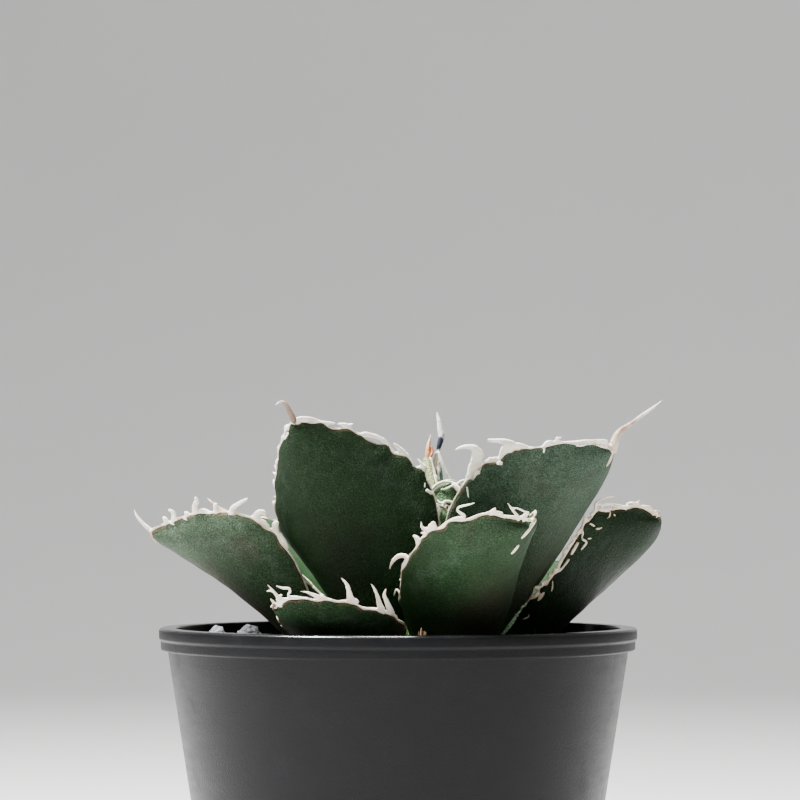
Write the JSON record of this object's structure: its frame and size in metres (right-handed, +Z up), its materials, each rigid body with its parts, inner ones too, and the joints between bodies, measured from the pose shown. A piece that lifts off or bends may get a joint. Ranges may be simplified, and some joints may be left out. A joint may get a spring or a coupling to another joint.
{
  "type": "potted agave",
  "caption": "Small potted agave: a rosette of thick spoon-shaped leaves with horny toothed edges and end spines, in a round tapered nursery pot with gritty soil.",
  "frame": {"origin": "middle of the flat base of the pot, on the surface that it stands on", "axes": "+Z up along the pot's axis, +X to the right and +Y away from the camera in the picture"},
  "size_m": [0.1675, 0.1793, 0.1889],
  "materials": {
    "pot": "satin",
    "soil": "matt",
    "stem": "matt",
    "stone_1": "matt",
    "stone_2": "matt",
    "leaf_01_blade": "matt with a fine bloom",
    "leaf_01_border": "satin",
    "leaf_02_blade": "matt with a fine bloom",
    "leaf_02_border": "satin",
    "leaf_03_blade": "matt with a fine bloom",
    "leaf_03_border": "satin",
    "leaf_04_blade": "matt with a fine bloom",
    "leaf_04_border": "satin",
    "leaf_05_blade": "matt with a fine bloom",
    "leaf_05_border": "satin",
    "leaf_06_blade": "matt with a fine bloom",
    "leaf_06_border": "satin",
    "leaf_07_blade": "matt with a fine bloom",
    "leaf_07_border": "satin",
    "leaf_08_blade": "matt with a fine bloom",
    "leaf_08_border": "satin",
    "leaf_09_blade": "matt with a fine bloom",
    "leaf_09_border": "satin",
    "leaf_10_blade": "matt with a fine bloom",
    "leaf_10_border": "satin",
    "bud_1_blade": "matt with a fine bloom",
    "bud_1_border": "satin",
    "bud_2_blade": "matt with a fine bloom",
    "bud_2_border": "satin",
    "bud_3_blade": "matt with a fine bloom",
    "bud_3_border": "satin",
    "bud_4_blade": "matt with a fine bloom",
    "bud_4_border": "satin",
    "bud_5_blade": "matt with a fine bloom",
    "bud_5_border": "satin"
  },
  "bodies": {
    "root": {"pot": "pot", "soil": "soil", "stem": "stem", "stone_1": "stone_1", "stone_2": "stone_2", "leaf_01_blade": "leaf_01_blade", "leaf_01_border": "leaf_01_border", "leaf_02_blade": "leaf_02_blade", "leaf_02_border": "leaf_02_border", "leaf_03_blade": "leaf_03_blade", "leaf_03_border": "leaf_03_border", "leaf_04_blade": "leaf_04_blade", "leaf_04_border": "leaf_04_border", "leaf_05_blade": "leaf_05_blade", "leaf_05_border": "leaf_05_border", "leaf_06_blade": "leaf_06_blade", "leaf_06_border": "leaf_06_border", "leaf_07_blade": "leaf_07_blade", "leaf_07_border": "leaf_07_border", "leaf_08_blade": "leaf_08_blade", "leaf_08_border": "leaf_08_border", "leaf_09_blade": "leaf_09_blade", "leaf_09_border": "leaf_09_border", "leaf_10_blade": "leaf_10_blade", "leaf_10_border": "leaf_10_border", "bud_1_blade": "bud_1_blade", "bud_1_border": "bud_1_border", "bud_2_blade": "bud_2_blade", "bud_2_border": "bud_2_border", "bud_3_blade": "bud_3_blade", "bud_3_border": "bud_3_border", "bud_4_blade": "bud_4_blade", "bud_4_border": "bud_4_border", "bud_5_blade": "bud_5_blade", "bud_5_border": "bud_5_border"}
  },
  "joints": []
}
